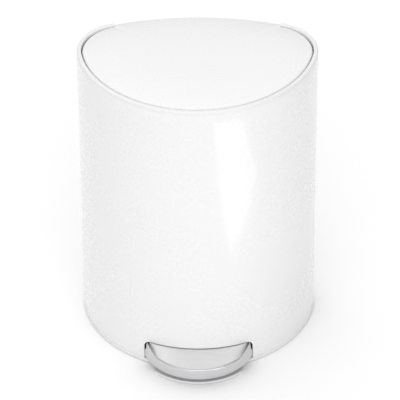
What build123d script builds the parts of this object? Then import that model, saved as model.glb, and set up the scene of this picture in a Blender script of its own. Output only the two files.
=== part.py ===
from build123d import *
from math import asin, atan2, cos, degrees, radians, sin, sqrt
import os

# Semi-round step trash can with a hinged lid, a pedal and a lift-out inner bucket.
# Origin: on the floor, at the centre of the footprint. +X right, +Y back, +Z up. Sizes in mm.

# Body outline, a D with a round front and a nearly flat back
front_radius = 118.0
body_depth = 160.6
rear_radius = 316.0
corner_radius = 46.3
rim_height = 316.0
pedal_reach = 26.6

# Fits
seat_gap = 0.3
side_gap = 0.7
running_gap = 0.06
overcut = 1.0

# Base with its feet and toe lip
foot_height = 0.8
foot_radius = 7.0
foot_thickness = 2.4
foot_inset = 17.0
front_foot_angle = 38.0
rear_foot_x = 62.0
base_ring_top = 4.5
floor_thickness = 2.2
lip_wall = 2.0
lip_height = 18.0
toe_reach = 22.8
toe_half_width = 43.5
toe_radius = 62.8
toe_corner = 4.0
toe_overlap = 12.0

# Steel shell, and its opening for the pedal
sheet = 0.8
opening_half = 54.0
opening_top = 27.0
opening_corner = 6.5

# Collar on the sheet's top edge
collar_height = 4.0
rim_width = 4.2
rim_outer_round = 1.5
rim_inner_round = 0.8
collar_depth = 20.0
collar_wall = 2.0
land_depth = 50.0
land_half = 26.0
shelf_drop = 8.0
shelf_thickness = 2.0
shelf_inset = 9.4
ledge_drop = 15.0
ledge_thickness = 2.0
window_half = 20.6
shell_notch_rise = 2.4
bumper_radius = 1.6
bumper_inset = 7.6
bumper_angles = (-75.0, -35.0, 35.0, 75.0)

# Lid
lid_gap = 1.6
lid_sheet = 1.0
lid_edge = 3.5
lid_round = 2.5
lid_bevel = 0.9
crown_height = 3.4
crown_radius_x = 2120.0
crown_radius_y = 940.0
crown_swing = 4.0
crown_block = 60.0
tail_half = 80.0
tail_gap = 1.6
tail_depth = 11.0
tail_sheet = 1.2
tail_round = 3.5
tail_plate = 2.5
liner_sheet = 1.2
liner_rib_height = 3.2
liner_rib_inset = 12.0
liner_rib = 1.6
liner_notch_half = 30.0
cross_rib_places = (-45.0, 45.0)

# Hinge
hinge_setback = 6.6
hinge_drop = 6.5
lid_opening = 75.0
pin_radius = 2.0
boss_radius = 3.6
ear_top_angle = 52.0
ear_under_angle = 43.0
ear_shoulder = (11.5, 1.5)
ear_elbow = (13.0, 11.5)
ear_foot_reach = 11.0
ear_heel_reach = 5.5
ear_armpit = (7.0, 7.5)
pin_head_radius = 3.4
pin_head_thickness = 1.2
ear_inner = 11.0
ear_thickness = 2.5
bracket_half = 20.0
bracket_thickness = 1.5
bracket_drop = 44.0
lug_inner = 7.0
lug_thickness = 2.5
arm_half = 24.0
arm_length = 36.0
arm_thickness = 1.5
arm_web_step = 2.5
arm_clearance = 1.2
screw_radius = 1.5
screw_head_radius = 2.8
screw_head_height = 1.4
bracket_screw_x = 16.9
bracket_screw_drops = (38.0, 24.0)
arm_screw_x = 17.0
arm_screw_pitch = 20.0

# Lift rod, from the pedal's lever up to the crank of the lid
rod_travel = 17.0
rod_radius = 3.0
yoke_half = 5.8
slot_clearance = 0.38
slot_spare = 0.5
slot_wall = 1.6
socket_wall = 1.6
yoke_socket_length = 12.0
foot_block_half = 7.6
foot_socket_length = 10.0
guide_half = 8.0
guide_height = 10.0
lower_guide_level = 112.0
upper_guide_drop = 54.0

# Pedal and its lever
pedal_radius = 57.0
pedal_side_gap = 0.4
pedal_inside = 13.0
pedal_top = 20.0
band_bottom = 9.3
band_sheet = 1.2
pad_thickness = 2.0
pad_gap = 0.5
pad_round = 0.6
plate_thickness = 1.5
pedal_corner = 1.5
axle_setback = 18.0
axle_height = 10.0
axle_radius = 2.5
axle_boss = 5.0
axle_head_radius = 3.5
lever_half = 11.0
lever_thickness = 3.0
lever_front_gap = 6.0
lever_ear = 2.5
lever_rise = 5.0
post_gap = 1.0
post_thickness = 2.5
post_half = 9.0
post_flange = 12.0
strap_width = 8.0
rivet_radius = 2.2
rivet_head_radius = 4.0
rivet_pitch = 12.0

# Channel behind the bucket, with the damper
channel_gap = 2.5
cover_half = 39.5
cover_sheet = 1.5
cover_bottom = 36.0
damper_x = 22.0
damper_radius = 7.0
damper_wall = 1.5
damper_drop = 166.0
damper_length = 56.0
damper_rod_radius = 2.0
piston_height = 6.0
piston_start = 3.0
saddle_half = 9.0
clamp_drop = 83.0
clamp_thickness = 6.0
clamp_margin = 5.0

# Inner bucket
bucket_inset = 15.0
channel_depth = 31.6
bucket_rear_radius = 300.0
bucket_corner = 36.0
bucket_wall = 1.6
bucket_draft = 8.0
bucket_bottom = 38.0
bucket_flange = 4.6
bucket_flange_thickness = 2.0
bucket_round = 8.0

# Places on the body that follow from the sizes
front_y = pedal_reach - (body_depth + pedal_reach) / 2
centre_y = front_y + front_radius
centre_line_y = front_y + body_depth / 2
rear_y = front_y + body_depth
floor_top = foot_height + floor_thickness
shell_top = rim_height - collar_height
shelf_top = rim_height - shelf_drop
ledge_top = rim_height - ledge_drop
ledge_bottom = ledge_top - ledge_thickness
shell_notch = ledge_top + shell_notch_rise
lid_inset = rim_width + lid_gap
lid_bottom = rim_height - lid_edge
tail_bottom = rim_height - tail_depth
notch_half = tail_half + tail_gap

# Places of the bucket and the channel behind it
bucket_front_radius = front_radius - bucket_inset
bucket_depth = body_depth - bucket_inset - channel_depth
bucket_rear_y = centre_y - bucket_front_radius + bucket_depth
bucket_seat = ledge_top + seat_gap
channel_y = bucket_rear_y + channel_gap
channel_inner_y = channel_y + cover_sheet
window_front = bucket_rear_y + bucket_flange + bucket_wall / 2
cover_top = ledge_bottom - seat_gap
guide_levels = (lower_guide_level, rim_height - upper_guide_drop)
damper_bottom = rim_height - damper_drop
damper_top = damper_bottom + damper_length
clamp_level = rim_height - clamp_drop

# Places of the linkage: the crank pin swings equally far below and above the hinge
hinge_y = rear_y - hinge_setback
hinge_z = rim_height - hinge_drop
bracket_bottom = rim_height - bracket_drop
crank = rod_travel / 2 / sin(radians(lid_opening / 2))
crank_y = hinge_y - crank * cos(radians(lid_opening / 2))
crank_z = hinge_z - rod_travel / 2
rod_y = (crank_y + hinge_y - crank) / 2
slot_height = 2 * (pin_radius + slot_clearance)
yoke_slot_half = crank_y - rod_y + pin_radius + slot_spare
lug_outer = lug_inner + lug_thickness
socket_radius = rod_radius + socket_wall
yoke_bottom = crank_z - slot_height / 2 - slot_wall

# Places of the pedal's lever: its rear slot moves forward a little as it rises
axle_y = front_y + axle_setback
lever_top = pedal_top - pad_thickness - plate_thickness
lever_bottom = lever_top - lever_thickness
lever_slot_z = lever_top + lever_rise
lever_angle = asin(rod_travel / (rod_y - axle_y))
lever_drift = (rod_y - axle_y) * (1 - cos(lever_angle)) + (lever_slot_z - axle_height) * sin(lever_angle)
lever_slot_y = rod_y + lever_drift / 2
lever_slot_half = lever_drift / 2 + pin_radius + slot_spare
pedal_y = front_y - pedal_reach + pedal_radius
pedal_half = opening_half - pedal_side_gap
pedal_rear_y = front_y + pedal_inside
lever_front_y = pedal_y - pedal_radius + lever_front_gap
post_inner = lever_half + post_gap
post_outer = post_inner + post_flange


def d_corner(front_r, rear_r, corner_r, depth):
    """Centre (x, y) of the corner arc that touches the front arc and the rear arc,
    and the y of the rear arc's centre, all from the centre of the front arc."""
    rear_centre = depth - front_r - rear_r
    to_front = front_r - corner_r
    to_rear = rear_r - corner_r
    y = (to_front**2 - to_rear**2 + rear_centre**2) / (2 * rear_centre)
    return sqrt(to_front**2 - y**2), y, rear_centre


def d_face(inset, mode=Mode.ADD, front_r=front_radius, rear_r=rear_radius, corner_r=corner_radius,
           depth=body_depth):
    """Face bounded by a D outline, drawn `inset` inside its edge, in the sketch that is open."""
    x, y, rear_centre = d_corner(front_r, rear_r, corner_r, depth)
    low = degrees(atan2(y, x))
    high = degrees(atan2(y - rear_centre, x))
    with BuildLine() as outline:
        CenterArc((0, centre_y), front_r - inset, 180 - low, 180 + 2 * low)
        CenterArc((x, centre_y + y), corner_r - inset, low, high - low)
        CenterArc((0, centre_y + rear_centre), rear_r - inset, high, 180 - 2 * high)
        CenterArc((-x, centre_y + y), corner_r - inset, 180 - high, high - low)
    make_face(outline.line, mode=mode)


def d_ring(outer, inner):
    """Face between the body outline at two insets."""
    d_face(outer)
    d_face(inner, Mode.SUBTRACT)


def bucket_face(inset, mode=Mode.ADD):
    """Face bounded by the bucket's own D outline, at an inset from the outside of its mouth."""
    d_face(inset, mode, bucket_front_radius, bucket_rear_radius, bucket_corner, bucket_depth)


def rear_face_y(x, inset):
    """How far back (y) the rear face stands at a place x across it, `inset` inside the surface."""
    rear_centre = centre_y + body_depth - front_radius - rear_radius
    return rear_centre + sqrt((rear_radius - inset) ** 2 - x**2)


def point_on_front(angle, inset):
    """Point `inset` inside the round front, at an angle from straight ahead."""
    radius = front_radius - inset
    return radius * sin(radians(angle)), centre_y - radius * cos(radians(angle))


def box(x_range, y_range, z_range, mode=Mode.ADD):
    """Box between three pairs of limits."""
    limits = (x_range, y_range, z_range)
    with Locations(tuple((low + high) / 2 for low, high in limits)):
        Box(*(high - low for low, high in limits), mode=mode)


def across(centre, radius, half_length, mode=Mode.ADD):
    """Cylinder along X, centred on the middle plane, at a place (y, z)."""
    with Locations((0, *centre)):
        Cylinder(radius, 2 * half_length, rotation=(0, 90, 0), mode=mode)


def post(place, radius, z_range, mode=Mode.ADD):
    """Upright cylinder at a place (x, y)."""
    with Locations((*place, (z_range[0] + z_range[1]) / 2)):
        Cylinder(radius, z_range[1] - z_range[0], mode=mode)


def slot_across(centre, half_length, height, half_width):
    """Cut a slot that runs along Y, through a width along X, at a place (y, z)."""
    with BuildSketch(Plane.YZ.offset(-half_width)) as shape:
        with Locations(centre):
            SlotOverall(2 * half_length, height)
    extrude(shape.sketch, amount=2 * half_width, mode=Mode.SUBTRACT)


def outline_edges(part, z, inset):
    """Edges of the body outline at a height and an inset."""
    radii = [radius - inset for radius in (front_radius, rear_radius, corner_radius)]
    level = part.edges().filter_by(GeomType.CIRCLE).filter_by_position(Axis.Z, z - 0.01, z + 0.01)
    return level.filter_by(lambda edge: min(abs(edge.radius - radius) for radius in radii) < 0.01)


# Places that need the outline
bracket_back = rear_face_y(bracket_half, sheet + collar_wall)
bracket_top = ledge_bottom - seat_gap
bracket_screws = [(x, rim_height - drop) for x in (-bracket_screw_x, bracket_screw_x)
                  for drop in bracket_screw_drops]
cover_back = rear_face_y(cover_half, sheet + lip_wall) - seat_gap
foot_places = [point_on_front(-front_foot_angle, foot_inset), point_on_front(front_foot_angle, foot_inset)]
foot_places += [(x, rear_face_y(x, foot_inset)) for x in (-rear_foot_x, rear_foot_x)]
post_screws = [(side * (post_inner + post_thickness + post_flange / 2), axle_y + shift)
               for side in (-1, 1) for shift in (-post_half / 2, post_half / 2)]
arm_rear_y = hinge_y - crank - arm_clearance
arm_screws = [(x, arm_rear_y - arm_length / 2 + shift)
              for x in (-arm_screw_x, arm_screw_x) for shift in (-arm_screw_pitch / 2, arm_screw_pitch / 2)]
rivet_places = [(0, front_y - rivet_pitch / 2 + shift) for shift in (-rivet_pitch / 2, rivet_pitch / 2)]

os.makedirs("parts", exist_ok=True)

# Outer shell: one wrapped steel sheet with the pedal opening below and a notch for the lid's tail
with BuildPart() as outer_shell:
    with BuildSketch(Plane.XY.offset(base_ring_top)):
        d_ring(0, sheet)
    extrude(amount=shell_top - base_ring_top)
    with BuildSketch(Plane.XZ.offset(-centre_y + opening_half)):
        with Locations((0, (opening_top + base_ring_top) / 2 - opening_corner)):
            opening_height = opening_top - base_ring_top + 2 * opening_corner
            RectangleRounded(2 * opening_half, opening_height, opening_corner)
    extrude(amount=front_radius, mode=Mode.SUBTRACT)
    box((-notch_half, notch_half), (centre_y, rear_y + overcut), (shell_notch, rim_height), Mode.SUBTRACT)
outer_shell.part.label = "outer_shell"
export_step(outer_shell.part, "parts/outer_shell.step")

# Top collar: rim on the sheet's edge, wall inside the sheet, shelf under the lid, ledge for the bucket
with BuildPart() as top_collar:
    with BuildSketch(Plane.XY.offset(shell_top)):
        d_ring(0, rim_width)
    extrude(amount=collar_height)
    fillet(outline_edges(top_collar, rim_height, 0), rim_outer_round)
    fillet(outline_edges(top_collar, rim_height, rim_width), rim_inner_round)
    with BuildSketch(Plane.XY.offset(shelf_top)):
        d_ring(sheet, rim_width)
    extrude(amount=shell_top - shelf_top)
    with BuildSketch(Plane.XY.offset(shelf_top - shelf_thickness)):
        d_ring(sheet, shelf_inset)
    extrude(amount=shelf_thickness)
    with BuildSketch(Plane.XY.offset(rim_height - collar_depth)):
        d_ring(sheet, sheet + collar_wall)
    extrude(amount=collar_depth - shelf_drop)
    with BuildSketch(Plane.XY.offset(ledge_bottom)):
        d_face(sheet)
        bucket_face(-side_gap, Mode.SUBTRACT)
    extrude(amount=ledge_thickness)
    with BuildSketch(Plane.XY.offset(rim_height - land_depth)):
        d_ring(sheet, sheet + collar_wall)
        with Locations((0, rear_y)):
            Rectangle(2 * land_half, 6 * collar_wall, mode=Mode.INTERSECT)
    extrude(amount=land_depth - collar_depth)
    box((-notch_half, notch_half), (bucket_rear_y, rear_y + overcut), (ledge_top, rim_height + overcut),
        Mode.SUBTRACT)
    box((-window_half, window_half), (window_front, bracket_back),
        (ledge_bottom - overcut, ledge_top + overcut), Mode.SUBTRACT)
    for x, z in bracket_screws:
        with Locations((x, rear_y, z)):
            Cylinder(screw_radius, 4 * collar_wall, rotation=(90, 0, 0), mode=Mode.SUBTRACT)
top_collar.part.label = "top_collar"
export_step(top_collar.part, "parts/top_collar.step")

# Rim bumpers: rubber studs on the shelf that the lid comes down on
with BuildPart() as rim_bumpers:
    for angle in bumper_angles:
        post(point_on_front(angle, bumper_inset), bumper_radius, (shelf_top, lid_bottom - seat_gap))
rim_bumpers.part.label = "rim_bumpers"
export_step(rim_bumpers.part, "parts/rim_bumpers.step")

# Base moulding: ring under the sheet, floor, lip inside the sheet, and the toe lip in front
with BuildPart() as base_moulding:
    with BuildSketch(Plane.XY.offset(foot_height)):
        d_face(0)
    extrude(amount=base_ring_top - foot_height)
    with BuildSketch(Plane.XY.offset(floor_top)):
        d_face(sheet + lip_wall)
    extrude(amount=base_ring_top - floor_top, mode=Mode.SUBTRACT)
    with BuildSketch(Plane.XY.offset(base_ring_top)):
        d_ring(sheet, sheet + lip_wall)
    extrude(amount=lip_height - base_ring_top)
    box((-opening_half - overcut, opening_half + overcut), (front_y - overcut, centre_y - opening_half),
        (base_ring_top, lip_height + overcut), Mode.SUBTRACT)
    with BuildSketch(Plane.XY.offset(foot_height)) as toe_lip:
        with Locations((0, front_y - toe_reach + toe_radius)):
            Circle(toe_radius)
        with Locations((0, front_y - toe_reach / 2 + toe_overlap / 2)):
            Rectangle(2 * toe_half_width, toe_reach + toe_overlap, mode=Mode.INTERSECT)
        fillet(toe_lip.vertices().group_by(Axis.Y)[0], toe_corner)
    extrude(amount=floor_thickness)
    for place in foot_places:
        post(place, foot_radius, (foot_height - overcut, foot_thickness), Mode.SUBTRACT)
    for place in post_screws:
        post(place, screw_radius, (foot_height - overcut, floor_top + overcut), Mode.SUBTRACT)
base_moulding.part.label = "base_moulding"
export_step(base_moulding.part, "parts/base_moulding.step")

# Rubber feet, let into the underside of the base
with BuildPart() as feet:
    for place in foot_places:
        post(place, foot_radius, (0, foot_thickness))
feet.part.label = "feet"
export_step(feet.part, "parts/feet.step")

# Lever bracket: two posts on the floor that hold the pedal's axle
with BuildPart() as lever_bracket:
    for side in (-1, 1):
        with BuildSketch(Plane.YZ.offset(side * (post_inner + post_thickness / 2))) as post_shape:
            with Locations((axle_y, axle_height)):
                Circle(axle_boss)
            with Locations((axle_y, floor_top + sheet)):
                Rectangle(2 * post_half, 2 * sheet)
            make_hull()
        extrude(amount=post_thickness / 2, both=True)
        inner, outer = sorted((side * post_inner, side * post_outer))
        box((inner, outer), (axle_y - post_half, axle_y + post_half),
            (floor_top, floor_top + plate_thickness))
    box((-post_outer, post_outer), (axle_y + post_half, axle_y + post_half + strap_width),
        (floor_top, floor_top + plate_thickness))
    across((axle_y, axle_height), axle_radius, post_outer, Mode.SUBTRACT)
    for place in post_screws:
        post(place, screw_radius, (floor_top - overcut, floor_top + plate_thickness + overcut),
             Mode.SUBTRACT)
lever_bracket.part.label = "lever_bracket"
export_step(lever_bracket.part, "parts/lever_bracket.step")

# Axle of the pedal, headed outside the posts
with BuildPart() as lever_axle:
    across((axle_y, axle_height), axle_radius, post_inner + post_thickness + pin_head_thickness)
    for side in (-1, 1):
        with Locations((side * (post_inner + post_thickness + pin_head_thickness / 2), axle_y, axle_height)):
            Cylinder(axle_head_radius, pin_head_thickness, rotation=(0, 90, 0))
lever_axle.part.label = "lever_axle"
export_step(lever_axle.part, "parts/lever_axle.step")

# Screws that hold the lever bracket to the floor
with BuildPart() as base_screws:
    seat = floor_top + plate_thickness
    for place in post_screws:
        post(place, screw_radius, (foot_height, seat))
        post(place, screw_head_radius, (seat, seat + screw_head_height))
base_screws.part.label = "base_screws"
export_step(base_screws.part, "parts/base_screws.step")

# Channel cover: closes off the lift rod and the damper from the bucket
with BuildPart() as channel_cover:
    box((-cover_half, cover_half), (channel_y, channel_y + cover_sheet), (cover_bottom, cover_top))
    for side in (-1, 1):
        inner, outer = sorted((side * (cover_half - cover_sheet), side * cover_half))
        box((inner, outer), (channel_y, cover_back), (floor_top, cover_top))
channel_cover.part.label = "channel_cover"
export_step(channel_cover.part, "parts/channel_cover.step")

# Two guides on the cover in which the lift rod slides
with BuildPart() as rod_guides:
    for level in guide_levels:
        box((-guide_half, guide_half), (channel_y + cover_sheet, rod_y + guide_half),
            (level - guide_height / 2, level + guide_height / 2))
    post((0, rod_y), rod_radius + running_gap, (floor_top, rim_height), Mode.SUBTRACT)
rod_guides.part.label = "rod_guides"
export_step(rod_guides.part, "parts/rod_guides.step")

# Damper cylinder with a bore and a gland round its rod
with BuildPart() as damper_cylinder:
    post((damper_x, rod_y), damper_radius, (damper_bottom, damper_top))
    post((damper_x, rod_y), damper_radius - damper_wall,
         (damper_bottom + damper_wall, damper_top - 2 * damper_wall), Mode.SUBTRACT)
    post((damper_x, rod_y), damper_rod_radius + running_gap,
         (damper_top - 3 * damper_wall, damper_top + overcut), Mode.SUBTRACT)
damper_cylinder.part.label = "damper_cylinder"
export_step(damper_cylinder.part, "parts/damper_cylinder.step")

# Saddle that carries the damper cylinder on the cover
with BuildPart() as damper_saddle:
    box((damper_x - saddle_half, damper_x + saddle_half), (channel_y + cover_sheet, rod_y),
        (damper_bottom + damper_length / 4, damper_bottom + 3 * damper_length / 4))
    post((damper_x, rod_y), damper_radius, (damper_bottom, damper_top), Mode.SUBTRACT)
damper_saddle.part.label = "damper_saddle"
export_step(damper_saddle.part, "parts/damper_saddle.step")

# Hinge bracket: a plate on the collar's land with two ears that reach back round the lid's tail
with BuildPart() as hinge_bracket:
    box((-bracket_half, bracket_half), (bracket_back - bracket_thickness, bracket_back),
        (bracket_bottom, bracket_top))
    for side in (-1, 1):
        with BuildSketch(Plane.YZ.offset(side * (ear_inner + ear_thickness / 2))):
            with Locations((hinge_y, hinge_z)):
                Circle(boss_radius)
            with BuildLine() as ear_outline:
                Polyline(
                    (hinge_y - boss_radius * cos(radians(ear_top_angle)),
                     hinge_z + boss_radius * sin(radians(ear_top_angle))),
                    (hinge_y - ear_shoulder[0], hinge_z - ear_shoulder[1]),
                    (hinge_y - ear_elbow[0], hinge_z - ear_elbow[1]),
                    (hinge_y - ear_foot_reach, bracket_bottom),
                    (bracket_back - bracket_thickness, bracket_bottom),
                    (bracket_back - bracket_thickness, bracket_top),
                    (hinge_y - ear_heel_reach, bracket_top),
                    (hinge_y - ear_armpit[0], hinge_z - ear_armpit[1]),
                    (hinge_y - boss_radius * cos(radians(ear_under_angle)),
                     hinge_z - boss_radius * sin(radians(ear_under_angle))),
                    close=True,
                )
            make_face()
        extrude(amount=ear_thickness / 2, both=True)
    across((hinge_y, hinge_z), pin_radius, bracket_half, Mode.SUBTRACT)
    for x, z in bracket_screws:
        with Locations((x, bracket_back, z)):
            Cylinder(screw_radius, 4 * bracket_thickness, rotation=(90, 0, 0), mode=Mode.SUBTRACT)
hinge_bracket.part.label = "hinge_bracket"
export_step(hinge_bracket.part, "parts/hinge_bracket.step")

# Hinge pin, headed outside the ears
with BuildPart() as hinge_pin:
    across((hinge_y, hinge_z), pin_radius, ear_inner + ear_thickness + pin_head_thickness)
    for side in (-1, 1):
        with Locations((side * (ear_inner + ear_thickness + pin_head_thickness / 2), hinge_y, hinge_z)):
            Cylinder(pin_head_radius, pin_head_thickness, rotation=(0, 90, 0))
hinge_pin.part.label = "hinge_pin"
export_step(hinge_pin.part, "parts/hinge_pin.step")

# Screws that hold the hinge bracket to the collar's land
with BuildPart() as hinge_screws:
    head_back = bracket_back - bracket_thickness
    for x, z in bracket_screws:
        shank_end = rear_face_y(x, sheet) - seat_gap
        with Locations((x, (head_back + shank_end) / 2, z)):
            Cylinder(screw_radius, shank_end - head_back, rotation=(90, 0, 0))
        with Locations((x, head_back - screw_head_height / 2, z)):
            Cylinder(screw_head_radius, screw_head_height, rotation=(90, 0, 0))
hinge_screws.part.label = "hinge_screws"
export_step(hinge_screws.part, "parts/hinge_screws.step")


def bucket_form(inset, bottom, rounding):
    """Drafted solid of the bucket's shape, `inset` inside its outer face, with a rounded bottom edge."""
    with BuildPart() as form:
        with BuildSketch(Plane.XY.offset(bottom)):
            bucket_face(bucket_draft + inset)
        with BuildSketch(Plane.XY.offset(bucket_seat)):
            bucket_face(inset)
        loft()
        fillet(form.faces().sort_by(Axis.Z)[0].edges(), rounding)
    return form.part


# Inner bucket: drafted, thin-walled, with a flat flange that hangs on the collar's ledge
with BuildPart() as inner_bucket:
    add(bucket_form(0, bucket_bottom, bucket_round))
    with BuildSketch(Plane.XY.offset(bucket_seat)):
        bucket_face(-bucket_flange)
    extrude(amount=bucket_flange_thickness)
    add(bucket_form(bucket_wall, bucket_bottom + bucket_wall, bucket_round - bucket_wall),
        mode=Mode.SUBTRACT)
    with BuildSketch(Plane.XY.offset(bucket_seat)):
        bucket_face(bucket_wall)
    extrude(amount=bucket_flange_thickness, mode=Mode.SUBTRACT)
inner_bucket.part.label = "inner_bucket"
export_step(inner_bucket.part, "parts/inner_bucket.step")

def crowned(inset, bottom, drop):
    """Solid under the crown lowered by `drop`, as wide as the body outline at an inset.
    The crown is an arc along Y swung about a level axis far below it, so that it falls away both ways."""
    apex = rim_height + crown_height - drop
    swing = radians(crown_swing)
    start = Plane((0, 0, apex - crown_radius_x), x_dir=(0, 1, 0), z_dir=(cos(swing), 0, sin(swing)))
    with BuildPart() as body:
        with BuildSketch(start):
            with Locations((centre_line_y, crown_radius_x - crown_radius_y)):
                Circle(crown_radius_y)
            with Locations((centre_line_y, crown_radius_x - crown_block / 2)):
                Rectangle(2 * body_depth, crown_block, mode=Mode.INTERSECT)
        revolve(axis=Axis(start.origin, (0, 1, 0)), revolution_arc=2 * crown_swing)
        with BuildSketch(Plane.XY.offset(bottom)):
            d_face(inset)
        extrude(amount=apex + overcut - bottom, mode=Mode.INTERSECT)
    return body.part


def top_edges(body):
    """Edges round the highest face of a solid."""
    return body.faces().sort_by(Axis.Z)[-1].edges()


def tail_only(body, half):
    """The part of a body that lies in the lid's tail, between two cuts across the back."""
    with BuildPart() as cut:
        add(body)
        box((-half, half), (centre_y, rear_y + overcut), (0, 2 * rim_height), Mode.INTERSECT)
    return cut.part


# Lid skin: a crowned pan of sheet that sits inside the rim, with a tail that wraps over the back
pan = crowned(lid_inset, lid_bottom, 0)
wrap = crowned(0, tail_bottom, 0)
hollow = crowned(lid_inset + lid_sheet, lid_bottom - overcut, lid_sheet)
with BuildPart() as lid_skin:
    add(pan.fillet(lid_round, top_edges(pan)))
    add(tail_only(wrap.fillet(tail_round, top_edges(wrap)), tail_half))
    with BuildSketch(Plane.XY.offset(tail_bottom - overcut)):
        d_face(tail_sheet)
    extrude(amount=lid_bottom + overcut - tail_bottom, mode=Mode.SUBTRACT)
    add(hollow.chamfer(lid_bevel, None, top_edges(hollow)), mode=Mode.SUBTRACT)
    with BuildSketch(Plane.XY.offset(lid_bottom - overcut)):
        d_face(tail_sheet)
        with Locations((0, rear_y)):
            Rectangle(2 * (tail_half - lid_sheet), 4 * (lid_inset + lid_sheet), mode=Mode.INTERSECT)
    extrude(amount=lid_edge + overcut - tail_plate, mode=Mode.SUBTRACT)
lid_skin.part.label = "lid_skin"
export_step(lid_skin.part, "parts/lid_skin.step")

# Lid liner: a plastic panel in the pan with a rib all round and two across
with BuildPart() as lid_liner:
    with BuildSketch(Plane.XY.offset(lid_bottom)):
        d_face(lid_inset + lid_sheet + seat_gap)
    extrude(amount=liner_sheet)
    with BuildSketch(Plane.XY.offset(lid_bottom - liner_rib_height)):
        d_ring(liner_rib_inset, liner_rib_inset + liner_rib)
        with BuildSketch(mode=Mode.PRIVATE) as cross_ribs:
            for x in cross_rib_places:
                with Locations((x, centre_y)):
                    Rectangle(liner_rib, 2 * body_depth)
            d_face(liner_rib_inset, Mode.INTERSECT)
        add(cross_ribs.sketch)
    extrude(amount=liner_rib_height)
    box((-liner_notch_half, liner_notch_half), (arm_rear_y, rear_y),
        (lid_bottom - liner_rib_height - overcut, rim_height), Mode.SUBTRACT)
    for place in arm_screws:
        post(place, screw_radius, (lid_bottom - overcut, rim_height), Mode.SUBTRACT)
lid_liner.part.label = "lid_liner"
export_step(lid_liner.part, "parts/lid_liner.step")

# Hinge arm of the lid: a plate under the liner with two lugs that hold the hinge pin and the crank pin
with BuildPart() as lid_hinge_arm:
    box((-arm_half, arm_half), (arm_rear_y - arm_length, arm_rear_y),
        (lid_bottom - arm_thickness, lid_bottom))
    for side in (-1, 1):
        with BuildSketch(Plane.YZ.offset(side * (lug_inner + lug_thickness / 2))):
            with Locations((hinge_y, hinge_z), (crank_y, crank_z)):
                Circle(boss_radius)
            make_hull()
            with BuildLine() as web_outline:
                Polyline(
                    (arm_rear_y - arm_length / 2, lid_bottom),
                    (arm_rear_y, lid_bottom),
                    (hinge_y, hinge_z + boss_radius),
                    (hinge_y, hinge_z),
                    (crank_y, crank_z),
                    (crank_y - boss_radius, crank_z),
                    (arm_rear_y - arm_web_step, lid_bottom - 2 * arm_thickness),
                    (arm_rear_y - arm_length / 2, lid_bottom - arm_thickness),
                    close=True,
                )
            make_face(web_outline.line)
        extrude(amount=lug_thickness / 2, both=True)
    across((hinge_y, hinge_z), pin_radius + running_gap, arm_half, Mode.SUBTRACT)
    across((crank_y, crank_z), pin_radius, arm_half, Mode.SUBTRACT)
    for place in arm_screws:
        post(place, screw_radius, (lid_bottom - 2 * arm_thickness, rim_height), Mode.SUBTRACT)
lid_hinge_arm.part.label = "lid_hinge_arm"
export_step(lid_hinge_arm.part, "parts/lid_hinge_arm.step")

# Crank pin between the lugs, which the lift rod's yoke pushes on
with BuildPart() as crank_pin:
    across((crank_y, crank_z), pin_radius, lug_outer)
crank_pin.part.label = "crank_pin"
export_step(crank_pin.part, "parts/crank_pin.step")

# Screws that hold the hinge arm to the liner
with BuildPart() as lid_screws:
    head_top = lid_bottom - arm_thickness
    for place in arm_screws:
        post(place, screw_radius, (head_top, lid_bottom + liner_sheet))
        post(place, screw_head_radius, (head_top - screw_head_height, head_top))
lid_screws.part.label = "lid_screws"
export_step(lid_screws.part, "parts/lid_screws.step")

# Lift rod, plain round bar from the foot block to the yoke
with BuildPart() as lift_rod:
    post((0, rod_y), rod_radius, (lever_slot_z + pin_radius + seat_gap, yoke_bottom))
lift_rod.part.label = "lift_rod"
export_step(lift_rod.part, "parts/lift_rod.step")

# Yoke on top of the rod, with a level slot that lets the crank pin move fore and aft
with BuildPart() as lift_yoke:
    yoke_length = yoke_slot_half + slot_wall
    box((-yoke_half, yoke_half), (rod_y - yoke_length, rod_y + yoke_length),
        (yoke_bottom, crank_z + slot_height / 2 + slot_wall))
    slot_across((rod_y, crank_z), yoke_slot_half, slot_height, yoke_half)
    post((0, rod_y), socket_radius, (yoke_bottom - yoke_socket_length, yoke_bottom))
    post((0, rod_y), rod_radius, (yoke_bottom - yoke_socket_length, yoke_bottom), Mode.SUBTRACT)
lift_yoke.part.label = "lift_yoke"
export_step(lift_yoke.part, "parts/lift_yoke.step")

# Foot block under the rod, with a socket for the rod and a bore for its cross pin
with BuildPart() as rod_foot:
    foot_block_bottom = lever_slot_z - pin_radius - slot_wall
    foot_block_top = lever_slot_z + pin_radius + 2 * slot_wall
    box((-foot_block_half, foot_block_half), (rod_y - socket_radius, rod_y + socket_radius),
        (foot_block_bottom, foot_block_top))
    post((0, rod_y), socket_radius, (foot_block_top, foot_block_top + foot_socket_length))
    post((0, rod_y), rod_radius, (lever_slot_z + pin_radius + seat_gap, foot_block_top + foot_socket_length),
         Mode.SUBTRACT)
    across((rod_y, lever_slot_z), pin_radius, foot_block_half, Mode.SUBTRACT)
rod_foot.part.label = "rod_foot"
export_step(rod_foot.part, "parts/rod_foot.step")

# Cross pin of the foot block, which rides in the slots of the lever
with BuildPart() as foot_pin:
    across((rod_y, lever_slot_z), pin_radius, lever_half)
foot_pin.part.label = "foot_pin"
export_step(foot_pin.part, "parts/foot_pin.step")

# Damper piston with its rod, hung from the clamp on the lift rod
with BuildPart() as damper_piston:
    piston_bottom = damper_bottom + damper_wall + piston_start
    piston_top = piston_bottom + piston_height
    post((damper_x, rod_y), damper_radius - damper_wall - running_gap, (piston_bottom, piston_top))
    post((damper_x, rod_y), damper_rod_radius, (piston_top, clamp_level + clamp_thickness / 2))
damper_piston.part.label = "damper_piston"
export_step(damper_piston.part, "parts/damper_piston.step")

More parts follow.
